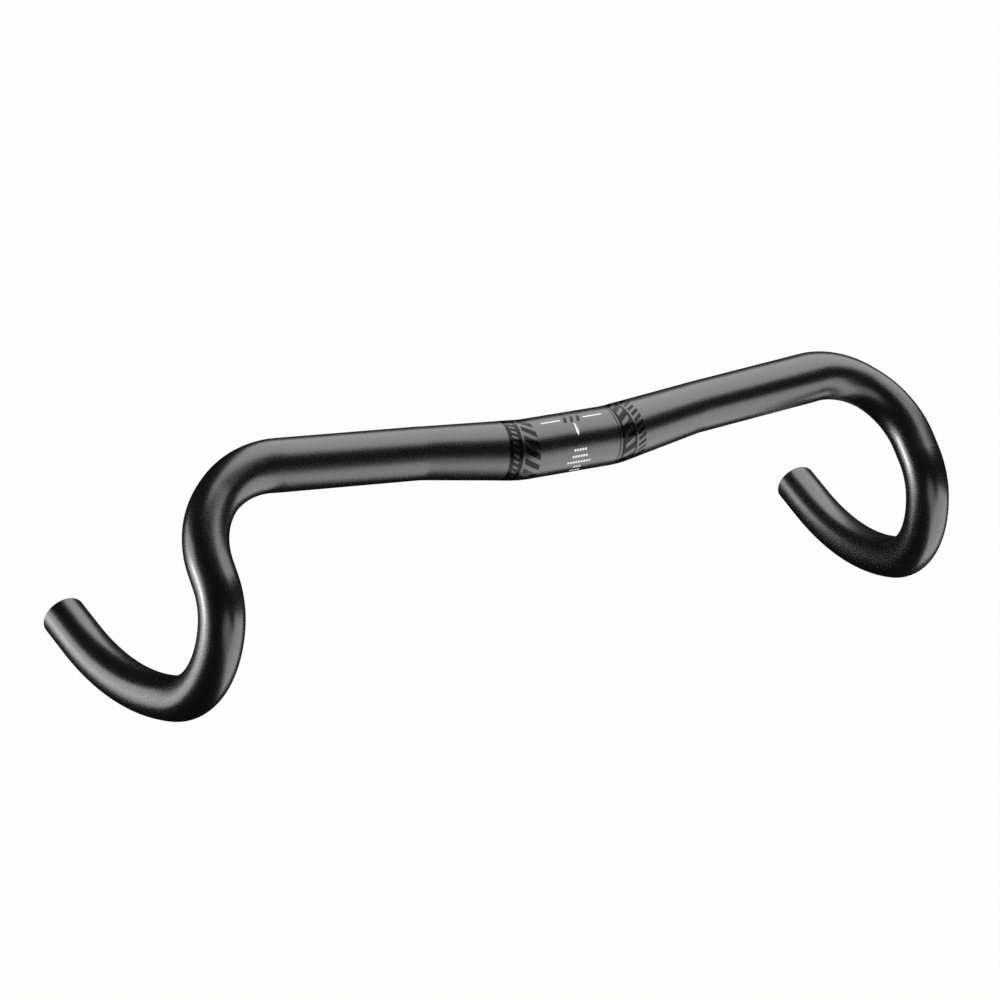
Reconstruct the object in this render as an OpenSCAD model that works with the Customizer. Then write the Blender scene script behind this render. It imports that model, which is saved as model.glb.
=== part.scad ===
// Drop handlebar for a road or gravel bicycle.
// Frame: origin at the middle of the stem clamp section, +X to the rider's right, +Y forward, +Z up.
// The bar is one butted alloy tube, stored as the zones it is formed in, plus the film marks printed on it.
// Every zone is drawn in its own frame: it starts at the origin, heads along +X and bends toward +Y.

/* [Stem clamp] */
// Outer diameter of the stem clamp section
clamp_d = 31.8; // [25.4:0.1:35]
// Straight length of the stem clamp section
clamp_length = 48; // [36:1:80]
// Wall of the stem clamp section
clamp_wall = 2.3; // [1.2:0.1:4]

/* [Tops] */
// Outer diameter of the tops
top_d = 28; // [22:0.1:31.8]
// Wall of the tops
top_wall = 1.7; // [0.8:0.1:3.5]
// Straight length of each top
top_length = 80.5; // [30:0.5:140]
// Length of the cone between the clamp section and each top
cone_length = 52; // [20:1:90]
// Radius of the two small bends beside the clamp section
jog_radius = 60; // [40:1:150]
// Angle by which the bar first leaves the clamp section backward
jog_angle = 8.25; // [1:0.25:20]
// Backward sweep of the tops
backsweep_angle = 5; // [0:0.25:15]

/* [Shoulders] */
// Centreline radius of the shoulder bend
shoulder_radius = 48; // [35:1:80]
// Angle of the shoulder bend
shoulder_angle = 95; // [70:0.5:110]
// Angle by which the shoulder bend dips below the tops
shoulder_dip = 12.5; // [0:0.5:30]
// Centreline length over which the shoulder narrows to the drops
shoulder_taper_length = 38; // [20:1:60]

/* [Levers, hooks and drops] */
// Outer diameter from the shoulders to the bar ends
drop_d = 23.8; // [20:0.1:26]
// Wall from the shoulders to the bar ends
drop_wall = 1.6; // [0.8:0.1:3]
// Straight length where a brake lever clamps
ramp_length = 8; // [4:0.5:40]
// Angle of the hook's plane about the ramp, 90 being straight down
hook_roll = 98.5; // [70:0.5:120]
// Centreline radius of the upper hook
upper_hook_radius = 32; // [25:1:60]
// Angle of the upper hook
upper_hook_angle = 40; // [15:0.5:70]
// Centreline radius of the lower hook
lower_hook_radius = 51; // [30:1:90]
// Angle of the lower hook
lower_hook_angle = 76; // [40:0.5:110]
// Centreline radius of the long drop curve
drop_radius = 150; // [80:1:300]
// Angle of the long drop curve
drop_angle = 35.5; // [5:0.5:60]
// Straight length at each bar end
bar_end_length = 20; // [12:0.5:80]
// Broken edge on the outer rim of each bar end
rim_break = 0.4; // [0.1:0.1:0.7]

/* [Printed marks] */
// Thickness of the printed film
film = 0.05; // [0.03:0.01:0.1]
// Margin between the right row of bars and each end of the first small bend
right_row_margin = 0.6; // [0.2:0.1:2]
// Number of bars in the right row
right_row_count = 16; // [8:1:30]
// Gap from the cone's start to the right band
right_band_offset = 0.7; // [0.2:0.1:10]
// Width of the right band
right_band_width = 7.4; // [2:0.1:12]
// Length of the slots in the right band
slot_length = 3; // [1:0.1:10]
// Number of slots in the right band
slot_count = 30; // [12:1:48]
// Gap from the clamp section to the fine ring on the left
left_ring_offset = 0.8; // [0.2:0.1:3]
// Gap from the clamp section to the left band
left_band_offset = 2.3; // [1.4:0.1:5]
// Width of the left band
left_band_width = 8.4; // [3:0.1:12]
// Gap from the cone's start to the left row of bars
left_row_offset = 3.4; // [2.5:0.1:12]
// Width of the left row of bars
left_row_width = 5.2; // [2:0.1:12]
// Number of bars in the left row
left_row_count = 28; // [12:1:48]
// Share of each pitch that a bar covers
bar_share = 0.55; // [0.3:0.05:0.8]
// Slant of the bars
bar_slant = 18; // [0:1:30]
// Width of the fine ring beside a row
ring_width = 0.5; // [0.2:0.1:1.5]
// Width of the white lines on the clamp section
line_width = 0.8; // [0.4:0.1:1.5]
// Angle of the centre mark above forward
mark_angle = 104; // [60:1:120]
// Length of each dash of the centre mark
dash_length = 12; // [6:0.5:14]
// Gap from the middle of the bar to each dash
dash_gap = 7; // [5:0.5:8]
// Angle of the pointer's middle above forward
pointer_angle = 79; // [50:1:90]
// Length of the pointer round the bar
pointer_length = 7.4; // [4:0.1:10]
// Width of the pointer at its widest
pointer_width = 1.8; // [1:0.1:3]
// Number of gloss bars in the centre mark
centre_bar_count = 3; // [1:1:5]
// Pitch of the gloss bars in the centre mark
centre_bar_pitch = 4; // [2.5:0.1:5]
// Width of a gloss bar in the centre mark
centre_bar_width = 1.8; // [0.8:0.1:2.4]
// Length of a gloss bar round the bar
centre_bar_length = 4.4; // [2:0.1:7]
// Distance that a gloss bar of the centre mark leans sideways
centre_bar_lean = 1.6; // [0:0.1:3]
// Angle of the scale's top row above forward
scale_angle = 38; // [0:1:45]
// Angle from one row of the scale to the next
row_pitch = 13; // [10:1:20]
// Blocks in each row of the scale, from the top row down
row_blocks = [5, 6, 9, 3, 4];
// Pitch of the blocks along a row
block_pitch = 1.65; // [1.2:0.05:3]
// Length of a block
block_length = 1.2; // [0.5:0.1:2]
// Width of a row
row_width = 1.3; // [0.6:0.1:2]

/* [Hidden] */
clamp_r = clamp_d / 2;
top_r = top_d / 2;
drop_r = drop_d / 2;
clamp_bore_r = clamp_r - clamp_wall;
top_bore_r = top_r - top_wall;
drop_bore_r = drop_r - drop_wall;
// Angle of the second small bend, which brings the jog back to the sweep of the tops
return_angle = jog_angle - backsweep_angle;
// Centreline length of the first small bend
jog_bend_length = jog_radius * jog_angle * PI / 180;
right_row_width = jog_bend_length - 2 * right_row_margin;
// Width of the part of the left band that runs onto the cone
left_band_on_cone = left_band_offset + left_band_width - jog_bend_length;
// Angle of the shoulder bend over which the tube narrows
taper_angle = shoulder_taper_length / shoulder_radius * 180 / PI;
// Overrun of a cutter past the face it cuts
over = 1;
// Depth of a mark's cutter, deep enough to pass through the film all over a bar
cutter_depth = 3;
// Facets around and along the narrowing bend
facets_round = 48;
facets_along = 12;
alloy = [0.13, 0.13, 0.14];
gloss = [0.02, 0.02, 0.02];
white = [0.95, 0.95, 0.95];
$fn = 96;

// --- steps along the centreline ---

module past_straight(length) {
    translate([length, 0, 0])
        children();
}

// A negative angle bends toward -Y.
module past_bend(radius, angle) {
    side = sign(angle);
    translate([radius * sin(abs(angle)), side * radius * (1 - cos(angle)), 0])
        rotate([0, 0, angle])
            children();
}

module rolled(angle) {
    rotate([angle, 0, 0])
        children();
}

module at_clamp_end() {
    past_straight(clamp_length / 2)
        children();
}

module at_cone() {
    at_clamp_end()
        past_bend(jog_radius, -jog_angle)
            children();
}

module at_return_bend() {
    at_cone()
        past_straight(cone_length)
            children();
}

module at_top() {
    at_return_bend()
        past_bend(jog_radius, return_angle)
            children();
}

module at_shoulder() {
    at_top()
        past_straight(top_length)
            rolled(-shoulder_dip)
                children();
}

module at_ramp() {
    at_shoulder()
        past_bend(shoulder_radius, taper_angle)
            children();
}

module at_upper_hook() {
    at_shoulder()
        past_bend(shoulder_radius, shoulder_angle)
            past_straight(ramp_length)
                rolled(-hook_roll)
                    children();
}

module at_lower_hook() {
    at_upper_hook()
        past_bend(upper_hook_radius, upper_hook_angle)
            children();
}

module at_drop() {
    at_lower_hook()
        past_bend(lower_hook_radius, lower_hook_angle)
            children();
}

module at_bar_end() {
    at_drop()
        past_bend(drop_radius, drop_angle)
            children();
}

// The left half mirrors the right half about the bar's middle.
module left_half() {
    mirror([1, 0, 0])
        children();
}

// --- shapes ---

// A solid rod or cone along +X from the origin.
module rod(length, start_r, end_r) {
    rotate([0, 90, 0])
        cylinder(h = length, r1 = start_r, r2 = end_r);
}

// A cutter that runs past both faces of a rod or cone, at the same slope.
module bore(length, start_r, end_r) {
    slope = (end_r - start_r) / length;
    translate([-over, 0, 0])
        rod(length + 2 * over, start_r - slope * over, end_r + slope * over);
}

module tube(length, start_r, end_r, start_bore_r, end_bore_r) {
    difference() {
        rod(length, start_r, end_r);
        bore(length, start_bore_r, end_bore_r);
    }
}

// A bend of even section. A negative angle bends toward -Y.
module bend(radius, angle, outer_r, bore_r) {
    side = angle < 0 ? 1 : 0;
    mirror([0, side, 0])
        translate([0, radius, 0])
            rotate([0, 0, -90])
                rotate_extrude(angle = abs(angle))
                    translate([radius, 0])
                        difference() {
                            circle(r = outer_r);
                            circle(r = bore_r);
                        }
}

// One point of a narrowing bend: turn is how far along the bend, around is the place on the ring.
function bend_point(radius, turn, r, around) = [
    (radius - r * cos(around)) * sin(turn),
    radius - (radius - r * cos(around)) * cos(turn),
    r * sin(around)
];

function ring_points(radius, angle, start_r, end_r) = [
    for (j = [0:facets_along])
        for (i = [0:facets_round - 1])
            bend_point(
                radius,
                angle * j / facets_along,
                start_r + (end_r - start_r) * j / facets_along,
                360 * i / facets_round
            )
];

// The two triangles between four corners.
function pair(a, b, c, d) = [[a, b, c], [a, c, d]];

// Index of the point at ring j, place i, of the skin that starts at first.
function at(first, j, i) = first + j * facets_round + i % facets_round;

function skin_faces(first, outward) = [
    for (j = [0:facets_along - 1])
        for (i = [0:facets_round - 1])
            for (t = outward
                ? pair(at(first, j, i), at(first, j, i + 1), at(first, j + 1, i + 1), at(first, j + 1, i))
                : pair(at(first, j, i), at(first, j + 1, i), at(first, j + 1, i + 1), at(first, j, i + 1)))
                t
];

function rim_faces(second, j, starting) = [
    for (i = [0:facets_round - 1])
        for (t = starting
            ? pair(at(0, j, i), at(second, j, i), at(second, j, i + 1), at(0, j, i + 1))
            : pair(at(0, j, i), at(0, j, i + 1), at(second, j, i + 1), at(second, j, i)))
            t
];

// A bend that narrows evenly along its centreline, open at both ends.
module narrowing_bend(radius, angle, start_r, end_r, start_bore_r, end_bore_r) {
    outer = ring_points(radius, angle, start_r, end_r);
    inner = ring_points(radius, angle, start_bore_r, end_bore_r);
    second = len(outer);
    polyhedron(
        points = concat(outer, inner),
        faces = concat(
            skin_faces(0, true),
            skin_faces(second, false),
            rim_faces(second, 0, true),
            rim_faces(second, facets_along, false)
        )
    );
}

// --- zones of the tube, right half ---

module inner_bend_zone() {
    at_clamp_end()
        bend(jog_radius, -jog_angle, clamp_r, clamp_bore_r);
}

module taper_zone() {
    at_cone()
        tube(cone_length, clamp_r, top_r, clamp_bore_r, top_bore_r);
}

module top_zone() {
    at_return_bend()
        bend(jog_radius, return_angle, top_r, top_bore_r);
    at_top()
        tube(top_length, top_r, top_r, top_bore_r, top_bore_r);
}

module shoulder_zone() {
    at_shoulder()
        narrowing_bend(shoulder_radius, taper_angle, top_r, drop_r, top_bore_r, drop_bore_r);
}

module ramp_zone() {
    at_ramp()
        bend(shoulder_radius, shoulder_angle - taper_angle, drop_r, drop_bore_r);
    at_shoulder()
        past_bend(shoulder_radius, shoulder_angle)
            tube(ramp_length, drop_r, drop_r, drop_bore_r, drop_bore_r);
}

module upper_hook_zone() {
    at_upper_hook()
        bend(upper_hook_radius, upper_hook_angle, drop_r, drop_bore_r);
}

module lower_hook_zone() {
    at_lower_hook()
        bend(lower_hook_radius, lower_hook_angle, drop_r, drop_bore_r);
}

module drop_zone() {
    at_drop()
        bend(drop_radius, drop_angle, drop_r, drop_bore_r);
}

module bar_end_zone() {
    straight = bar_end_length - rim_break;
    at_bar_end()
        difference() {
            union() {
                rod(straight, drop_r, drop_r);
                past_straight(straight)
                    rod(rim_break, drop_r, drop_r - rim_break);
            }
            bore(bar_end_length, drop_bore_r, drop_bore_r);
        }
}

// --- marks beside the clamp section, drawn on the right half ---

// Slanted cutters set evenly around the bar, in a row from the origin along +X.
module bar_row(width, count) {
    pitch = 2 * PI * clamp_r / count;
    for (k = [0:count - 1])
        rotate([360 * k / count, 0, 0])
            translate([width / 2, 0, clamp_r])
                rotate([0, 0, bar_slant])
                    cube([2 * width, pitch * bar_share, cutter_depth], center = true);
}

// A disc cutter across the bar, from the origin along +X.
module slice(width) {
    rod(width, clamp_r + cutter_depth, clamp_r + cutter_depth);
}

module film_row(width, count) {
    intersection() {
        slice(width);
        bar_row(width, count);
    }
}

// The children, placed along the first small bend at a distance from the clamp section.
module along_bend(distance) {
    past_bend(jog_radius, -distance / jog_radius * 180 / PI)
        children();
}

module film_on_bend() {
    at_clamp_end()
        intersection() {
            bend(jog_radius, -jog_angle, clamp_r + film, clamp_r);
            children();
        }
}

module film_on_cone() {
    at_cone()
        intersection() {
            tube(cone_length, clamp_r + film, top_r + film, clamp_r, top_r);
            children();
        }
}

// Large bars on the right, which fill the first small bend.
module right_row() {
    film_on_bend()
        along_bend(right_row_margin)
            film_row(right_row_width, right_row_count);
}

// A band on the right with small slots in it.
module right_band() {
    film_on_cone()
        past_straight(right_band_offset)
            difference() {
                slice(right_band_width);
                past_straight((right_band_width - slot_length) / 2)
                    film_row(slot_length, slot_count);
            }
}

// A fine ring and a wide band on the left. The band runs from the bend onto the cone.
module left_band() {
    film_on_bend() {
        along_bend(left_ring_offset)
            slice(ring_width);
        along_bend(left_band_offset)
            slice(left_band_width);
    }
    if (left_band_on_cone > 0)
        film_on_cone()
            slice(left_band_on_cone);
}

// Small bars on the left.
module left_row() {
    film_on_cone()
        past_straight(left_row_offset)
            film_row(left_row_width, left_row_count);
}

// --- marks on the clamp section ---

// A patch of film on the clamp section, middled on x, at an angle above forward.
module clamp_patch(x, angle, length, width) {
    rotate([angle - 90, 0, 0])
        translate([x, 0, clamp_r])
            cube([length, width, cutter_depth], center = true);
}

// The same place for an upright outline drawn in x and along the bar's turn.
module clamp_shape(x, angle) {
    rotate([angle - 90, 0, 0])
        translate([x, 0, clamp_r])
            linear_extrude(height = cutter_depth, center = true)
                children();
}

module clamp_film() {
    intersection() {
        translate([-clamp_length / 2, 0, 0])
            tube(clamp_length, clamp_r + film, clamp_r + film, clamp_r, clamp_r);
        children();
    }
}

// --- nodes ---

module clamp_section() {
    color(alloy)
        translate([-clamp_length / 2, 0, 0])
            tube(clamp_length, clamp_r, clamp_r, clamp_bore_r, clamp_bore_r);
}

module right_inner_bend() {
    color(alloy)
        inner_bend_zone();
}

module right_taper() {
    color(alloy)
        taper_zone();
}

module right_top() {
    color(alloy)
        top_zone();
}

module right_shoulder() {
    color(alloy)
        shoulder_zone();
}

module right_ramp() {
    color(alloy)
        ramp_zone();
}

module right_upper_hook() {
    color(alloy)
        upper_hook_zone();
}

module right_lower_hook() {
    color(alloy)
        lower_hook_zone();
}

module right_drop() {
    color(alloy)
        drop_zone();
}

module right_bar_end() {
    color(alloy)
        bar_end_zone();
}

module left_inner_bend() {
    color(alloy)
        left_half()
            inner_bend_zone();
}

module left_taper() {
    color(alloy)
        left_half()
            taper_zone();
}

module left_top() {
    color(alloy)
        left_half()
            top_zone();
}

module left_shoulder() {
    color(alloy)
        left_half()
            shoulder_zone();
}

module left_ramp() {
    color(alloy)
        left_half()
            ramp_zone();
}

module left_upper_hook() {
    color(alloy)
        left_half()
            upper_hook_zone();
}

module left_lower_hook() {
    color(alloy)
        left_half()
            lower_hook_zone();
}

module left_drop() {
    color(alloy)
        left_half()
            drop_zone();
}

module left_bar_end() {
    color(alloy)
        left_half()
            bar_end_zone();
}

module right_bar_mark() {
    color(gloss)
        right_row();
}

module right_band_mark() {
    color(gloss)
        right_band();
}

module left_band_mark() {
    color(gloss)
        left_half()
            left_band();
}

module left_bar_mark() {
    color(gloss)
        left_half()
            left_row();
}

// Two dashes and a pointer that show the middle of the bar to the stem.
module centre_mark() {
    color(white)
        clamp_film() {
            for (side = [-1, 1])
                clamp_patch(side * (dash_gap + dash_length / 2), mark_angle, dash_length, line_width);
            clamp_shape(0, pointer_angle)
                polygon([
                    [-line_width / 2, -pointer_length / 2],
                    [line_width / 2, -pointer_length / 2],
                    [pointer_width / 2, pointer_length / 4],
                    [0, pointer_length / 2],
                    [-pointer_width / 2, pointer_length / 4]
                ]);
        }
}

// Leaning gloss bars between the two dashes.
module centre_bars() {
    color(gloss)
        clamp_film()
            for (k = [0:centre_bar_count - 1])
                clamp_shape((k - (centre_bar_count - 1) / 2) * centre_bar_pitch, mark_angle)
                    polygon([
                        [(-centre_bar_width - centre_bar_lean) / 2, -centre_bar_length / 2],
                        [(centre_bar_width - centre_bar_lean) / 2, -centre_bar_length / 2],
                        [(centre_bar_width + centre_bar_lean) / 2, centre_bar_length / 2],
                        [(centre_bar_lean - centre_bar_width) / 2, centre_bar_length / 2]
                    ]);
}

// Rows of blocks that show how far the bar is turned in the stem.
module angle_scale() {
    color(white)
        clamp_film()
            for (row = [0:len(row_blocks) - 1])
                for (k = [0:row_blocks[row] - 1])
                    clamp_patch(
                        (k - (row_blocks[row] - 1) / 2) * block_pitch,
                        scale_angle - row * row_pitch,
                        block_length,
                        row_width
                    );
}

clamp_section();
right_inner_bend();
right_taper();
right_top();
right_shoulder();
right_ramp();
right_upper_hook();
right_lower_hook();
right_drop();
right_bar_end();
left_inner_bend();
left_taper();
left_top();
left_shoulder();
left_ramp();
left_upper_hook();
left_lower_hook();
left_drop();
left_bar_end();
right_bar_mark();
right_band_mark();
left_band_mark();
left_bar_mark();
centre_mark();
centre_bars();
angle_scale();
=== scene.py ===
"""Drop handlebar: the visual model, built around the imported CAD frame."""

import math

import bpy
import numpy as np
from mathutils import Matrix, Vector


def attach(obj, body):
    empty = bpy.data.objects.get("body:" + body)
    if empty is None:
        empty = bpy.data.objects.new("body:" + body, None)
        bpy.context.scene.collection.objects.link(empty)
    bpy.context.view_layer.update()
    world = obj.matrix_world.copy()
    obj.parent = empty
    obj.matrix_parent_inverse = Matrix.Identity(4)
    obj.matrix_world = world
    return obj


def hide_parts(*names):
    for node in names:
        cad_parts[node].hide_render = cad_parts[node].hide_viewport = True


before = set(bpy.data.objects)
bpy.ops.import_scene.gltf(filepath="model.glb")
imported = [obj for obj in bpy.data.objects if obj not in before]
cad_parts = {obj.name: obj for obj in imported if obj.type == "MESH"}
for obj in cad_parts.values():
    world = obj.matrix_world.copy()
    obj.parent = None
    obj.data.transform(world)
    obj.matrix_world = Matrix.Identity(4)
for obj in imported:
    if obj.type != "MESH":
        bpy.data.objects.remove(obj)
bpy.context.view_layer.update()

MM = 0.001
TINY = 1e-9

# ---------------------------------------------------------------- the bar's design
# Sizes are in mm and angles in degrees.

CLAMP_R, TOP_R, DROP_R = 15.9, 14.0, 11.9
CLAMP_WALL, TOP_WALL, DROP_WALL = 2.3, 1.7, 1.6
SHOULDER_R, SHOULDER_ANGLE = 48.0, 95.0
SHOULDER_TAPER = 38.0  # the length of the shoulder's bend in which the tube narrows
TAPER_ANGLE = math.degrees(SHOULDER_TAPER / SHOULDER_R)
RIM_BREAK = 0.4
FILM, FILM_UNDERSIDE = 0.05, 0.004  # heights of the film's two faces over the tube

# Each stretch of the right half, from the middle outward: zone, length, bend angle, bend radius.
# A roll turns the plane of the bends that follow it, by its second number.
STRETCHES = (
    ("clamp_section", 24.0, 0.0, 0.0),
    ("inner_bend", 0.0, -8.25, 60.0),
    ("taper", 52.0, 0.0, 0.0),
    ("top", 0.0, 3.25, 60.0),
    ("top", 80.5, 0.0, 0.0),
    ("roll", -12.5, 0.0, 0.0),
    ("shoulder", 0.0, TAPER_ANGLE, SHOULDER_R),
    ("ramp", 0.0, SHOULDER_ANGLE - TAPER_ANGLE, SHOULDER_R),
    ("ramp", 8.0, 0.0, 0.0),
    ("roll", -98.5, 0.0, 0.0),
    ("upper_hook", 0.0, 40.0, 32.0),
    ("lower_hook", 0.0, 76.0, 51.0),
    ("drop", 0.0, 35.5, 150.0),
    ("bar_end", 20.0, 0.0, 0.0),
)


class Centreline:
    """The centreline of the right half: a point and its axes at any distance along it."""

    def __init__(self):
        self.parts = []  # start distance, length, signed curvature, point, axes, roll so far
        self.zones = {}  # each zone's first and last distance
        point, axes, roll, start = np.zeros(3), np.eye(3), 0.0, 0.0
        for zone, length, angle, radius in STRETCHES:
            if zone == "roll":
                axes = axes @ self.turn_x(length)
                roll += length
                continue
            if angle:
                length = abs(math.radians(angle)) * radius
            bend = math.radians(angle) / length
            self.parts.append((start, length, bend, point, axes, roll))
            first = self.zones.get(zone, (start, start))[0]
            self.zones[zone] = (first, start + length)
            point, axes = self.step(point, axes, bend, length)
            start += length

    @staticmethod
    def turn_x(degrees):
        c, s = math.cos(math.radians(degrees)), math.sin(math.radians(degrees))
        return np.array(((1, 0, 0), (0, c, -s), (0, s, c)))

    @staticmethod
    def step(point, axes, bend, length):
        turn = bend * length
        if abs(turn) < TINY:
            return point + axes[:, 0] * length, axes
        c, s = math.cos(turn), math.sin(turn)
        move = np.array((s / bend, (1 - c) / bend, 0))
        spin = np.array(((c, -s, 0), (s, c, 0), (0, 0, 1)))
        return point + axes @ move, axes @ spin

    def at(self, distance):
        """(point, axes) with the rolls taken out, so that neighbouring zones' rings line up."""
        for start, length, bend, point, axes, roll in self.parts:
            if distance <= start + length + TINY:
                break
        point, axes = self.step(point, axes, bend, distance - start)
        return point, axes @ self.turn_x(-roll)


LINE = Centreline()
TAPER_START, TAPER_END = LINE.zones["taper"]
NARROW_START = LINE.zones["shoulder"][0]
NARROW_END = NARROW_START + SHOULDER_TAPER
EASE, EASE_SAMPLES = 3.0, 13  # how far each corner of a taper is rounded, to either side
EASE_RINGS = 7


def eased(distance, start, end, before, after):
    """before up to start, after from end, and an even slope between, with both corners eased."""
    steps = np.linspace(-EASE, EASE, EASE_SAMPLES)
    share = np.clip((distance + steps - start) / (end - start), 0, 1)
    return before + (after - before) * float(share.mean())


def tapered(distance, clamp, top, drop):
    """A radius along the bar from its values at the clamp section, the tops and the drops."""
    r = eased(distance, TAPER_START, TAPER_END, clamp, top)
    return r + eased(distance, NARROW_START, NARROW_END, 0.0, drop - top)


def outer_r(distance):
    return tapered(distance, CLAMP_R, TOP_R, DROP_R)


def bore_r(distance):
    return tapered(distance, CLAMP_R - CLAMP_WALL, TOP_R - TOP_WALL, DROP_R - DROP_WALL)


def slope(radius, distance, reach=0.5):
    low, high = max(distance - reach, 0.0), distance + reach
    return (radius(high) - radius(low)) / (high - low)


# ---------------------------------------------------------------- node trees


class Nodes:
    """A short way to build the node tree of a material or a world."""

    def __init__(self, owner):
        owner.use_nodes = True
        self.owner = owner
        self.tree = owner.node_tree
        self.tree.nodes.clear()

    def add(self, kind, inputs=(), **settings):
        node = self.tree.nodes.new(kind)
        for key, value in settings.items():
            setattr(node, key, value)
        for key, value in dict(inputs).items():
            if isinstance(value, bpy.types.NodeSocket):
                self.tree.links.new(value, node.inputs[key])
            else:
                node.inputs[key].default_value = value
        return node

    def math(self, operation, first, second):
        node = self.add("ShaderNodeMath", {0: first, 1: second}, operation=operation)
        return node.outputs["Value"]

    def noise(self, scale, detail, roughness=0.5):
        inputs = {
            "Vector": self.add("ShaderNodeTexCoord").outputs["Object"],
            "Scale": scale,
            "Detail": detail,
            "Roughness": roughness,
        }
        return self.add("ShaderNodeTexNoise", inputs).outputs["Fac"]

    def ramp(self, factor, *stops):
        node = self.add("ShaderNodeValToRGB", {"Fac": factor})
        elements = node.color_ramp.elements
        while len(elements) < len(stops):
            elements.new(0.5)
        for element, (place, colour) in zip(elements, stops):
            element.position = place
            element.color = (*colour, 1.0)
        return node.outputs["Color"]

    def bump(self, strength, distance, height):
        inputs = {"Strength": strength, "Distance": distance, "Height": height}
        return self.add("ShaderNodeBump", inputs).outputs["Normal"]

    def finish(self, shader, output="ShaderNodeOutputMaterial"):
        self.add(output, {"Surface": shader})
        return self.owner

    def finish_surface(self, colour, roughness, normal, ior=1.5):
        inputs = {"Base Color": colour, "Roughness": roughness, "IOR": ior, "Normal": normal}
        return self.finish(self.add("ShaderNodeBsdfPrincipled", inputs).outputs["BSDF"])


def new_material(name):
    return Nodes(bpy.data.materials.new(name))


def grey(value):
    return (value, value, value)


# ---------------------------------------------------------------- materials


def blasted_alloy():
    """Black anodised alloy with the fine, even pitting that bead blasting leaves."""
    n = new_material("blasted_black_alloy")
    fine = n.noise(2200.0, 2.0, 0.6)
    coarse = n.noise(1050.0, 2.0, 0.55)
    cloud = n.noise(26.0, 3.0)
    pits = n.bump(1.0, 0.000025, n.math("ADD", fine, coarse))
    tint = n.ramp(cloud, (0.3, (0.0024, 0.0024, 0.0026)), (0.7, (0.004, 0.004, 0.0043)))
    specks = n.ramp(fine, (0.62, grey(0.0)), (0.8, grey(1.0)))
    speckled = {"Factor": specks, "A": tint, "B": (0.03, 0.03, 0.031, 1.0)}
    colour = n.add("ShaderNodeMix", speckled, data_type="RGBA").outputs["Result"]
    roughness = n.ramp(coarse, (0.3, grey(0.26)), (0.7, grey(0.3)))
    return n.finish_surface(colour, roughness, pits, ior=2.0)


def bare_bore():
    """The drawn, unpolished inside of the tube, duller than the outside."""
    n = new_material("dark_bore")
    streak = n.noise(420.0, 3.0)
    tint = n.ramp(streak, (0.3, (0.012, 0.012, 0.013)), (0.75, (0.028, 0.028, 0.03)))
    return n.finish_surface(tint, 0.55, n.bump(0.4, 0.00015, streak), ior=1.6)


def cut_rim():
    """The sawn and deburred end of the tube."""
    n = new_material("cut_rim")
    grain = n.noise(1300.0, 2.0)
    tint = n.ramp(grain, (0.35, (0.02, 0.02, 0.021)), (0.7, (0.04, 0.04, 0.042)))
    return n.finish_surface(tint, 0.36, n.bump(0.35, 0.0001, grain), ior=1.77)


def gloss_film():
    """Gloss black film, with a little of the pitting showing through."""
    n = new_material("gloss_black_film")
    grain = n.noise(620.0, 1.0)
    tint = n.ramp(grain, (0.3, grey(0.002)), (0.8, grey(0.004)))
    return n.finish_surface(tint, 0.14, n.bump(0.12, 0.0001, grain), ior=1.3)


def white_ink():
    """Flat white ink, thin enough that the pitting shows."""
    n = new_material("white_ink")
    grain = n.noise(1500.0, 2.0)
    tint = n.ramp(grain, (0.25, grey(0.7)), (0.5, grey(0.88)), (0.8, grey(0.92)))
    return n.finish_surface(tint, 0.5, n.bump(0.3, 0.00008, grain))


ALLOY, BORE, RIM = blasted_alloy(), bare_bore(), cut_rim()
GLOSS, WHITE = gloss_film(), white_ink()

# ---------------------------------------------------------------- meshes

AROUND = 128
BEND_STEP = math.radians(1.6)
STRAIGHT_STEP = 4.0
MERGE = 1e-4
OUTSIDE, INSIDE, CUT = 0, 1, 2  # a skin's material slots: ALLOY, BORE, RIM
LIP_STEPS = 4
# The deburred mouth of the bore: depth, extra radius, normal along the bar and out from it.
MOUTH = ((0.0, 0.25, 1.0, 0.0), (0.12, 0.07, 0.6, -0.8))
MOUTH_DEPTH = 0.3
CLAMP_RINGS = 13


def new_piece(name, points, faces, corner_normals, face_slots, materials, side):
    """A mesh object from points in mm. A side of -1 mirrors it to the left half."""
    points = np.array(points) * MM
    corner_normals = [np.array(group) for group in corner_normals]
    if side < 0:
        points[:, 0] *= -1
        faces = [face[::-1] for face in faces]
        corner_normals = [group[::-1] * (-1, 1, 1) for group in corner_normals]
    mesh = bpy.data.meshes.new(name)
    mesh.from_pydata(points.tolist(), [], faces)
    for material in materials:
        mesh.materials.append(material)
    mesh.polygons.foreach_set("material_index", face_slots)
    mesh.polygons.foreach_set("use_smooth", [True] * len(faces))
    mesh.update()
    mesh.normals_split_custom_set(np.concatenate(corner_normals).tolist())
    piece = bpy.data.objects.new(name, mesh)
    bpy.context.scene.collection.objects.link(piece)
    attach(piece, "root")
    return piece


def stations(start, end):
    """Distances along a zone, close enough together that its bends look round."""
    marks = {start, end}
    for first, length, bend, *_ in LINE.parts:
        low, high = max(first, start), min(first + length, end)
        if high <= low + MERGE:
            continue
        pitch = BEND_STEP / abs(bend) if bend else STRAIGHT_STEP
        marks.update(np.linspace(low, high, max(2, math.ceil((high - low) / pitch) + 1)))
    for corner in (TAPER_START, TAPER_END, NARROW_START, NARROW_END):
        eases = np.linspace(corner - EASE, corner + EASE, EASE_RINGS)
        marks.update(d for d in eases if start < d < end)
    ordered = sorted(marks)
    return [d for i, d in enumerate(ordered) if i == 0 or d - ordered[i - 1] > MERGE]


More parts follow.
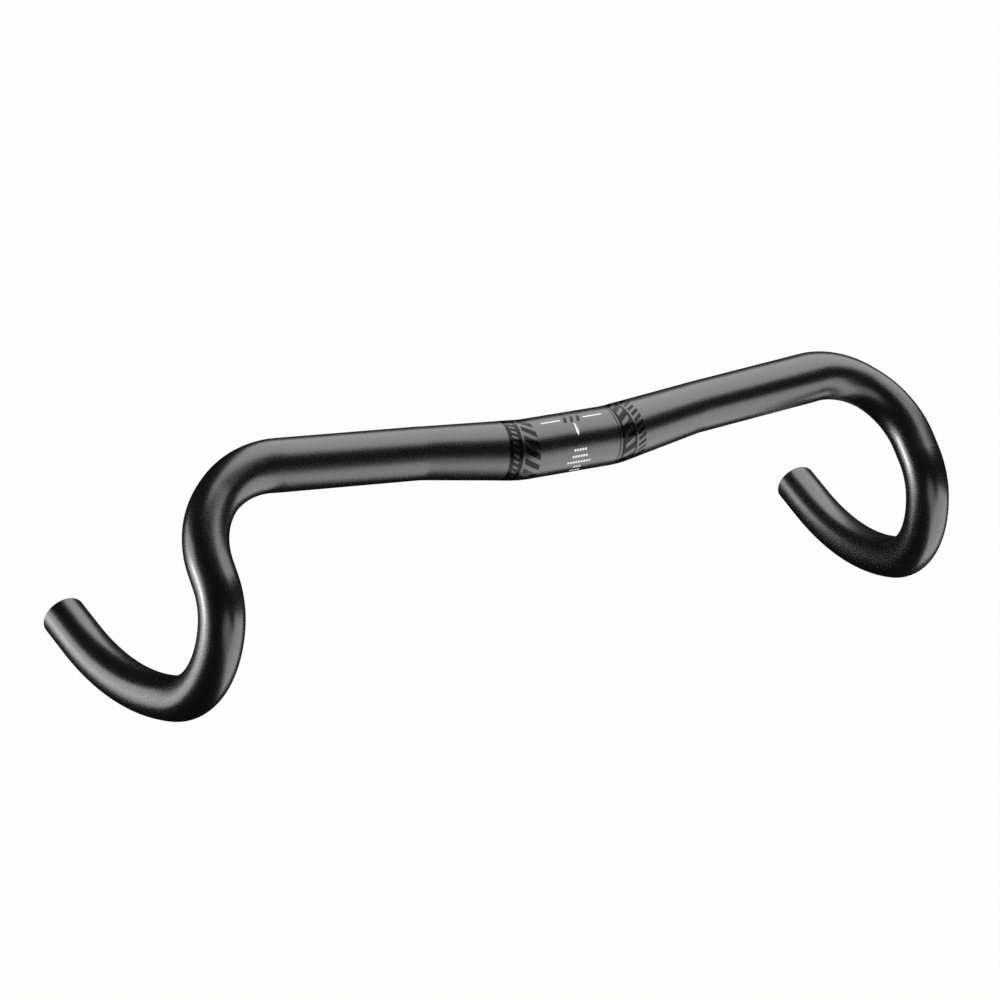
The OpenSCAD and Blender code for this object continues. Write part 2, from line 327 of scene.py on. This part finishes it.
def tube_profile(start, end, open_end):
    """The wall's closed outline: rows of distance, radius, normal along, normal out and slot.
    A sharp corner comes twice, once with each normal."""
    rows = []
    body_end = end - RIM_BREAK if open_end else end
    for d in stations(start, body_end):
        rows.append((d, outer_r(d), -slope(outer_r, d), 1.0, OUTSIDE))
    if open_end:
        for k in range(1, LIP_STEPS + 1):
            a = math.pi / 2 * k / LIP_STEPS
            d, r = body_end + RIM_BREAK * math.sin(a), DROP_R - RIM_BREAK * (1 - math.cos(a))
            rows.append((d, r, math.sin(a), math.cos(a), OUTSIDE))
    rows.append((end, rows[-1][1], 1.0, 0.0, CUT))
    inner = stations(start, end)[::-1]
    if open_end:
        for depth, extra, along, out in MOUTH:
            rows.append((end - depth, bore_r(end) + extra, along, out, CUT))
        inner = [d for d in inner if d < end - MOUTH_DEPTH]
    else:
        rows.append((end, bore_r(end), 1.0, 0.0, CUT))
    for d in inner:
        rows.append((d, bore_r(d), slope(bore_r, d), -1.0, INSIDE))
    rows.append((start, bore_r(start), -1.0, 0.0, CUT))
    rows.append((start, outer_r(start), -1.0, 0.0, CUT))
    return rows


def clamp_profile():
    """The clamp section's outline. It is straight and even, and runs through the middle."""
    half = LINE.zones["clamp_section"][1]
    bore = CLAMP_R - CLAMP_WALL
    rows = [(x, CLAMP_R, 0.0, 1.0, OUTSIDE) for x in np.linspace(-half, half, CLAMP_RINGS)]
    rows += [(half, CLAMP_R, 1.0, 0.0, CUT), (half, bore, 1.0, 0.0, CUT)]
    rows += [(x, bore, 0.0, -1.0, INSIDE) for x in np.linspace(half, -half, CLAMP_RINGS)]
    rows += [(-half, bore, -1.0, 0.0, CUT), (-half, CLAMP_R, -1.0, 0.0, CUT)]
    return rows


def along_x(distance):
    return np.array((distance, 0.0, 0.0)), np.eye(3)


def skin_piece(name, rows, place, side, replaced):
    """Turns an outline round the bar. place gives the point and axes at a distance."""
    turn = np.linspace(0, 2 * math.pi, AROUND, endpoint=False)
    points, normals, ids, seen = [], [], [], {}
    for d, r, along, out, _ in rows:
        point, axes = place(d)
        rays = np.outer(np.cos(turn), axes[:, 1]) + np.outer(np.sin(turn), axes[:, 2])
        key = (round(d, 5), round(r, 5))
        if key not in seen:
            seen[key] = len(points)
            points.extend(point + r * rays)
        ids.append(seen[key])
        n = along * axes[:, 0] + out * rays
        normals.append(n / np.linalg.norm(n, axis=1)[:, None])
    faces, corners, slots = [], [], []
    for i in range(len(rows)):
        j = (i + 1) % len(rows)
        if ids[i] == ids[j]:
            continue
        for k in range(AROUND):
            m = (k + 1) % AROUND
            faces.append((ids[i] + k, ids[i] + m, ids[j] + m, ids[j] + k))
            corners.append((normals[i][k], normals[i][m], normals[j][m], normals[j][k]))
            slots.append(rows[j][4])
    piece = new_piece(name, points, faces, corners, slots, (ALLOY, BORE, RIM), side)
    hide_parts(replaced)


# ---------------------------------------------------------------- printed film
# An outline turns two shares, each 0 to 1, into a distance along the bar and an angle round it.
# A patch is (outline, steps of its second share, steps of its first share).


def flat_normal(points, ids):
    p = [np.array(points[i]) for i in ids[:3]]
    n = np.cross(p[1] - p[0], p[2] - p[1])
    return n / max(np.linalg.norm(n), 1e-12)


def film_patch(points, faces, corners, outline, side_steps, along_steps):
    """Adds one closed patch of film: its face, its underside and the walls round its edge."""
    base = len(points)
    rows, cols = along_steps + 1, side_steps + 1
    normal = []
    for lift in (FILM_UNDERSIDE, FILM):
        for i in range(rows):
            for j in range(cols):
                d, angle = outline(i / along_steps, j / side_steps)
                point, axes = LINE.at(abs(d))
                if d < 0:
                    point, axes = point * (-1, 1, 1), axes * np.array(((-1,), (1,), (1,)))
                a = math.radians(angle)
                ray = math.cos(a) * axes[:, 1] + math.sin(a) * axes[:, 2]
                points.append(point + (outer_r(abs(d)) + lift) * ray)
                if lift == FILM:
                    n = ray - slope(outer_r, abs(d)) * axes[:, 0]
                    normal.append(n / np.linalg.norm(n))
    top = base + rows * cols
    sample = (top, top + cols, top + cols + 1, top + 1)
    flip = float(np.dot(flat_normal(points, sample), normal[0])) < 0

    def add_face(ids, smooth=False):
        ids = ids[::-1] if flip else ids
        faces.append(ids)
        if smooth:
            corners.append([normal[i - top] for i in ids])
        else:
            corners.append([flat_normal(points, ids)] * len(ids))

    for i in range(rows - 1):
        for j in range(cols - 1):
            a = top + i * cols + j
            add_face((a, a + cols, a + cols + 1, a + 1), smooth=True)
            b = base + i * cols + j
            add_face((b, b + 1, b + cols + 1, b + cols))
    edge = [i * cols for i in range(rows)]
    edge += [(rows - 1) * cols + j for j in range(1, cols)]
    edge += [i * cols + cols - 1 for i in range(rows - 2, -1, -1)]
    edge += [j for j in range(cols - 2, 0, -1)]
    for u, v in zip(edge, edge[1:] + edge[:1]):
        add_face((top + v, top + u, base + u, base + v))


def film_piece(name, patches, material, side, replaced):
    points, faces, corners = [], [], []
    for patch in patches:
        film_patch(points, faces, corners, *patch)
    piece = new_piece(name, points, faces, corners, [0] * len(faces), (material,), side)
    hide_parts(replaced)


def slanted(start, end, middle, width, slant=0.0):
    """A bar round the angle middle. slant is its turn from start to end."""

    def outline(along, across):
        angle = middle + width * (across - 0.5) + slant * (along - 0.5)
        return start + (end - start) * along, angle

    return outline


def ring(start, end, arcs=8):
    """A ring right round the bar, as arcs that meet."""
    turn = 360 / arcs
    return [(slanted(start, end, turn * (k + 0.5), turn), 14, 2) for k in range(arcs)]


def bars(start, end, count, share, slant):
    """Slanted bars right round the bar, each covering its share of the pitch."""
    pitch = 360 / count
    return [
        (slanted(start, end, pitch * k, pitch * share, slant), 5, 4)
        for k in range(count)
    ]


def slotted_band(start, end, slot_start, slot_end, count, share, slant):
    """A band with slanted slots: two rims and the webs between the slots."""
    pitch = 360 / count
    webs = [
        (slanted(slot_start, slot_end, pitch * k, pitch * (1 - share), slant), 4, 3)
        for k in range(count)
    ]
    return ring(start, slot_start) + webs + ring(slot_end, end)


# ---------------------------------------------------------------- the bar

RIGHT, LEFT = 1, -1

skin_piece("clamp_section_skin", clamp_profile(), along_x, RIGHT, "clamp_section")
for word, side in (("right", RIGHT), ("left", LEFT)):
    for zone, (start, end) in LINE.zones.items():
        if zone != "clamp_section":
            rows = tube_profile(start, end, open_end=zone == "bar_end")
            skin_piece(f"{word}_{zone}_skin", rows, LINE.at, side, f"{word}_{zone}")

film_piece(
    "right_bar_film",
    bars(start=24.6, end=32.0, count=16, share=0.55, slant=18.0),
    GLOSS, RIGHT, "right_bar_mark",
)
film_piece(
    "right_band_film",
    slotted_band(
        start=33.3, end=40.7, slot_start=35.5, slot_end=38.5, count=30, share=0.45, slant=5.0,
    ),
    GLOSS, RIGHT, "right_band_mark",
)
film_piece(
    "left_band_film",
    ring(start=24.8, end=25.3) + slotted_band(
        start=26.3, end=34.7, slot_start=27.9, slot_end=33.2, count=16, share=0.4, slant=12.0,
    ),
    GLOSS, LEFT, "left_band_mark",
)
film_piece(
    "left_bar_film",
    bars(start=36.0, end=41.2, count=28, share=0.55, slant=8.0),
    GLOSS, LEFT, "left_bar_mark",
)

# The centre mark: two dashes, a pointer, three leaning bars and rows of small blocks.
MARK_ANGLE = 104.0
DASH_START, DASH_END, DASH_TURN = 7.0, 19.0, 2.9
POINTER_START, POINTER_TURN = 92.3, 26.7
POINTER_SHARES, POINTER_HALVES = (0, 0.72, 1), (0.4, 0.9, 0.05)
LEAN_PITCH, LEAN_WIDTH, LEAN, LEAN_TURN = 4.0, 1.8, 1.6, 15.9
ROW_BLOCKS = (5, 6, 9, 3, 4)
FIRST_ROW, ROW_TURN = 38, 13.0
BLOCK_PITCH, BLOCK_HALF, BLOCK_TURN = 1.65, 0.6, 4.7


def pointer(along, across):
    """A thin line that widens into an arrow head towards the front."""
    half = float(np.interp(along, POINTER_SHARES, POINTER_HALVES))
    return half * (2 * across - 1), POINTER_START - POINTER_TURN * along


def leaning(middle):
    """A leaning gloss bar."""

    def outline(along, across):
        distance = middle + LEAN_WIDTH * (along - 0.5) + LEAN * (0.5 - across)
        return distance, MARK_ANGLE + LEAN_TURN * (across - 0.5)

    return outline


dashes = [
    (slanted(sign * DASH_START, sign * DASH_END, MARK_ANGLE, DASH_TURN), 2, 12)
    for sign in (1, -1)
]
film_piece(
    "centre_mark_ink", dashes + [(pointer, 4, 18)], WHITE, RIGHT, "centre_mark",
)
film_piece(
    "centre_bars_film",
    [(leaning(LEAN_PITCH * k), 8, 3) for k in (-1, 0, 1)],
    GLOSS, RIGHT, "centre_bars",
)
blocks = []
for row, count in enumerate(ROW_BLOCKS):
    for k in range(count):
        x = (k - (count - 1) / 2) * BLOCK_PITCH
        angle = FIRST_ROW - ROW_TURN * row
        blocks.append((slanted(x - BLOCK_HALF, x + BLOCK_HALF, angle, BLOCK_TURN), 3, 2))
film_piece("angle_scale_ink", blocks, WHITE, RIGHT, "angle_scale")

# ---------------------------------------------------------------- camera

AZIMUTH, ELEVATION, ROLL = 132.73, 46.92, 28.35
DISTANCE, LENS, SENSOR, CLIP_END = 1.98192, 134.94, 36.0, 60
OFFSET_RIGHT, OFFSET_DOWN = 0.034044, -0.030443

a, e, c = (math.radians(v) for v in (AZIMUTH, ELEVATION, ROLL))
VIEW_BACK = Vector((math.sin(a) * math.cos(e), -math.cos(a) * math.cos(e), math.sin(e)))
level = (-VIEW_BACK).cross(Vector((0, 0, 1))).normalized()
upright = level.cross(-VIEW_BACK)
VIEW_RIGHT = math.cos(c) * level + math.sin(c) * upright
VIEW_UP = -math.sin(c) * level + math.cos(c) * upright


def placed(right, up, back, place):
    """The matrix of a camera or lamp at place that looks along -back."""
    matrix = Matrix((right, up, back)).transposed().to_4x4()
    matrix.translation = place
    return matrix


camera = bpy.data.objects.new("camera", bpy.data.cameras.new("camera"))
camera.data.lens = LENS
camera.data.sensor_width = SENSOR
camera.data.clip_end = CLIP_END
camera.matrix_world = placed(
    VIEW_RIGHT, VIEW_UP, VIEW_BACK,
    VIEW_BACK * DISTANCE - VIEW_RIGHT * OFFSET_RIGHT + VIEW_UP * OFFSET_DOWN,
)
bpy.context.scene.collection.objects.link(camera)
bpy.context.scene.camera = camera

# ---------------------------------------------------------------- studio


def studio_direction(angle, clock):
    """A direction at an angle from the camera's side, turned from its right through its up."""
    angle, clock = math.radians(angle), math.radians(clock)
    flat = math.cos(clock) * VIEW_RIGHT + math.sin(clock) * VIEW_UP
    return math.cos(angle) * VIEW_BACK + math.sin(angle) * flat


def softbox(name, angle, clock, distance, width, length, radiance, aim=(0, 0, 0), spread=180):
    """A lamp that faces aim, in metres. Its length lies in the plane of the camera and the bar."""
    lamp = bpy.data.lights.new(name, "AREA")
    lamp.shape = "RECTANGLE"
    lamp.size, lamp.size_y = width, length
    lamp.energy = radiance * math.pi * width * length
    lamp.spread = math.radians(spread)
    out = studio_direction(angle, clock)
    along = (studio_direction(angle + 1, clock) - out).normalized()
    thing = bpy.data.objects.new(name, lamp)
    thing.matrix_world = placed(along.cross(out), along, out, out * distance + Vector(aim))
    bpy.context.scene.collection.objects.link(thing)


def seen_share(n):
    """1 for rays from the camera and for reflections, and 0 for light that falls on things."""
    path = n.add("ShaderNodeLightPath").outputs
    seen = n.math("MAXIMUM", path["Is Camera Ray"], path["Is Glossy Ray"])
    return n.math("MAXIMUM", seen, path["Is Transmission Ray"])


FLOOR_Z, FLOOR_SIZE = -4.5, 90.0
FLOOR_TINT = (0.86, 0.86, 0.86, 1)
SHADOW_SHARE = 0.015  # how much of the floor's look is its lit surface, which holds shadows
WORLD_TINT = (0.55, 0.55, 0.55, 1)
PURE_WHITE = (1, 1, 1, 1)
WALL_RADIUS, WALL_TINT = 4.2, (0.004, 0.004, 0.004, 1)

bpy.ops.mesh.primitive_plane_add(size=FLOOR_SIZE, location=(0, 0, FLOOR_Z))
floor = bpy.context.object
floor.name = "studio_floor"
n = new_material("pale_floor")
share = n.math("MULTIPLY", seen_share(n), 1 - SHADOW_SHARE)
matte = n.add("ShaderNodeBsdfDiffuse", {"Color": FLOOR_TINT}).outputs[0]
glow = n.add("ShaderNodeEmission", {"Color": PURE_WHITE, "Strength": 1.0}).outputs[0]
pale = n.add("ShaderNodeMixShader", {0: share, 1: matte, 2: glow}).outputs[0]
floor.data.materials.append(n.finish(pale))

# Name, angle, clock, distance, width, length and radiance, placed for the photo's highlights. The
# gridded one is aimed at the hook on the right of the photo.
softbox("left_softbox", 89, 184, 2.26, 2.06, 2.0, 2.25)
softbox("upper_right_softbox", 95, 70, 1.0, 1.5, 1.45, 2.05)
softbox("lower_right_softbox", 97, 322, 1.3, 1.5, 1.6, 1.75)
softbox("near_softbox", 45, 308, 1.7, 0.9, 1.4, 0.9)
softbox("gridded_softbox", 88, 185, 1.7, 0.7, 0.8, 0.24, aim=(-0.25, 0.04, -0.07), spread=22)

n = Nodes(bpy.data.worlds.new("studio_world"))
dim = n.add("ShaderNodeBackground", {"Color": WORLD_TINT}).outputs[0]
white = n.add("ShaderNodeBackground", {"Color": PURE_WHITE}).outputs[0]
sky = n.add("ShaderNodeMixShader", {0: seen_share(n), 1: dim, 2: white}).outputs[0]
bpy.context.scene.world = n.finish(sky, "ShaderNodeOutputWorld")

# The studio's dark walls, beyond the lamps. Only reflections see them.
bpy.ops.mesh.primitive_ico_sphere_add(subdivisions=4, radius=WALL_RADIUS)
walls = bpy.context.object
walls.name = "dark_studio"
n = new_material("dark_studio")
felt = n.add("ShaderNodeBsdfDiffuse", {"Color": WALL_TINT}).outputs[0]
walls.data.materials.append(n.finish(felt))
walls.visible_camera = False
walls.visible_diffuse = False
walls.visible_shadow = False

bpy.context.scene.view_settings.view_transform = "Standard"
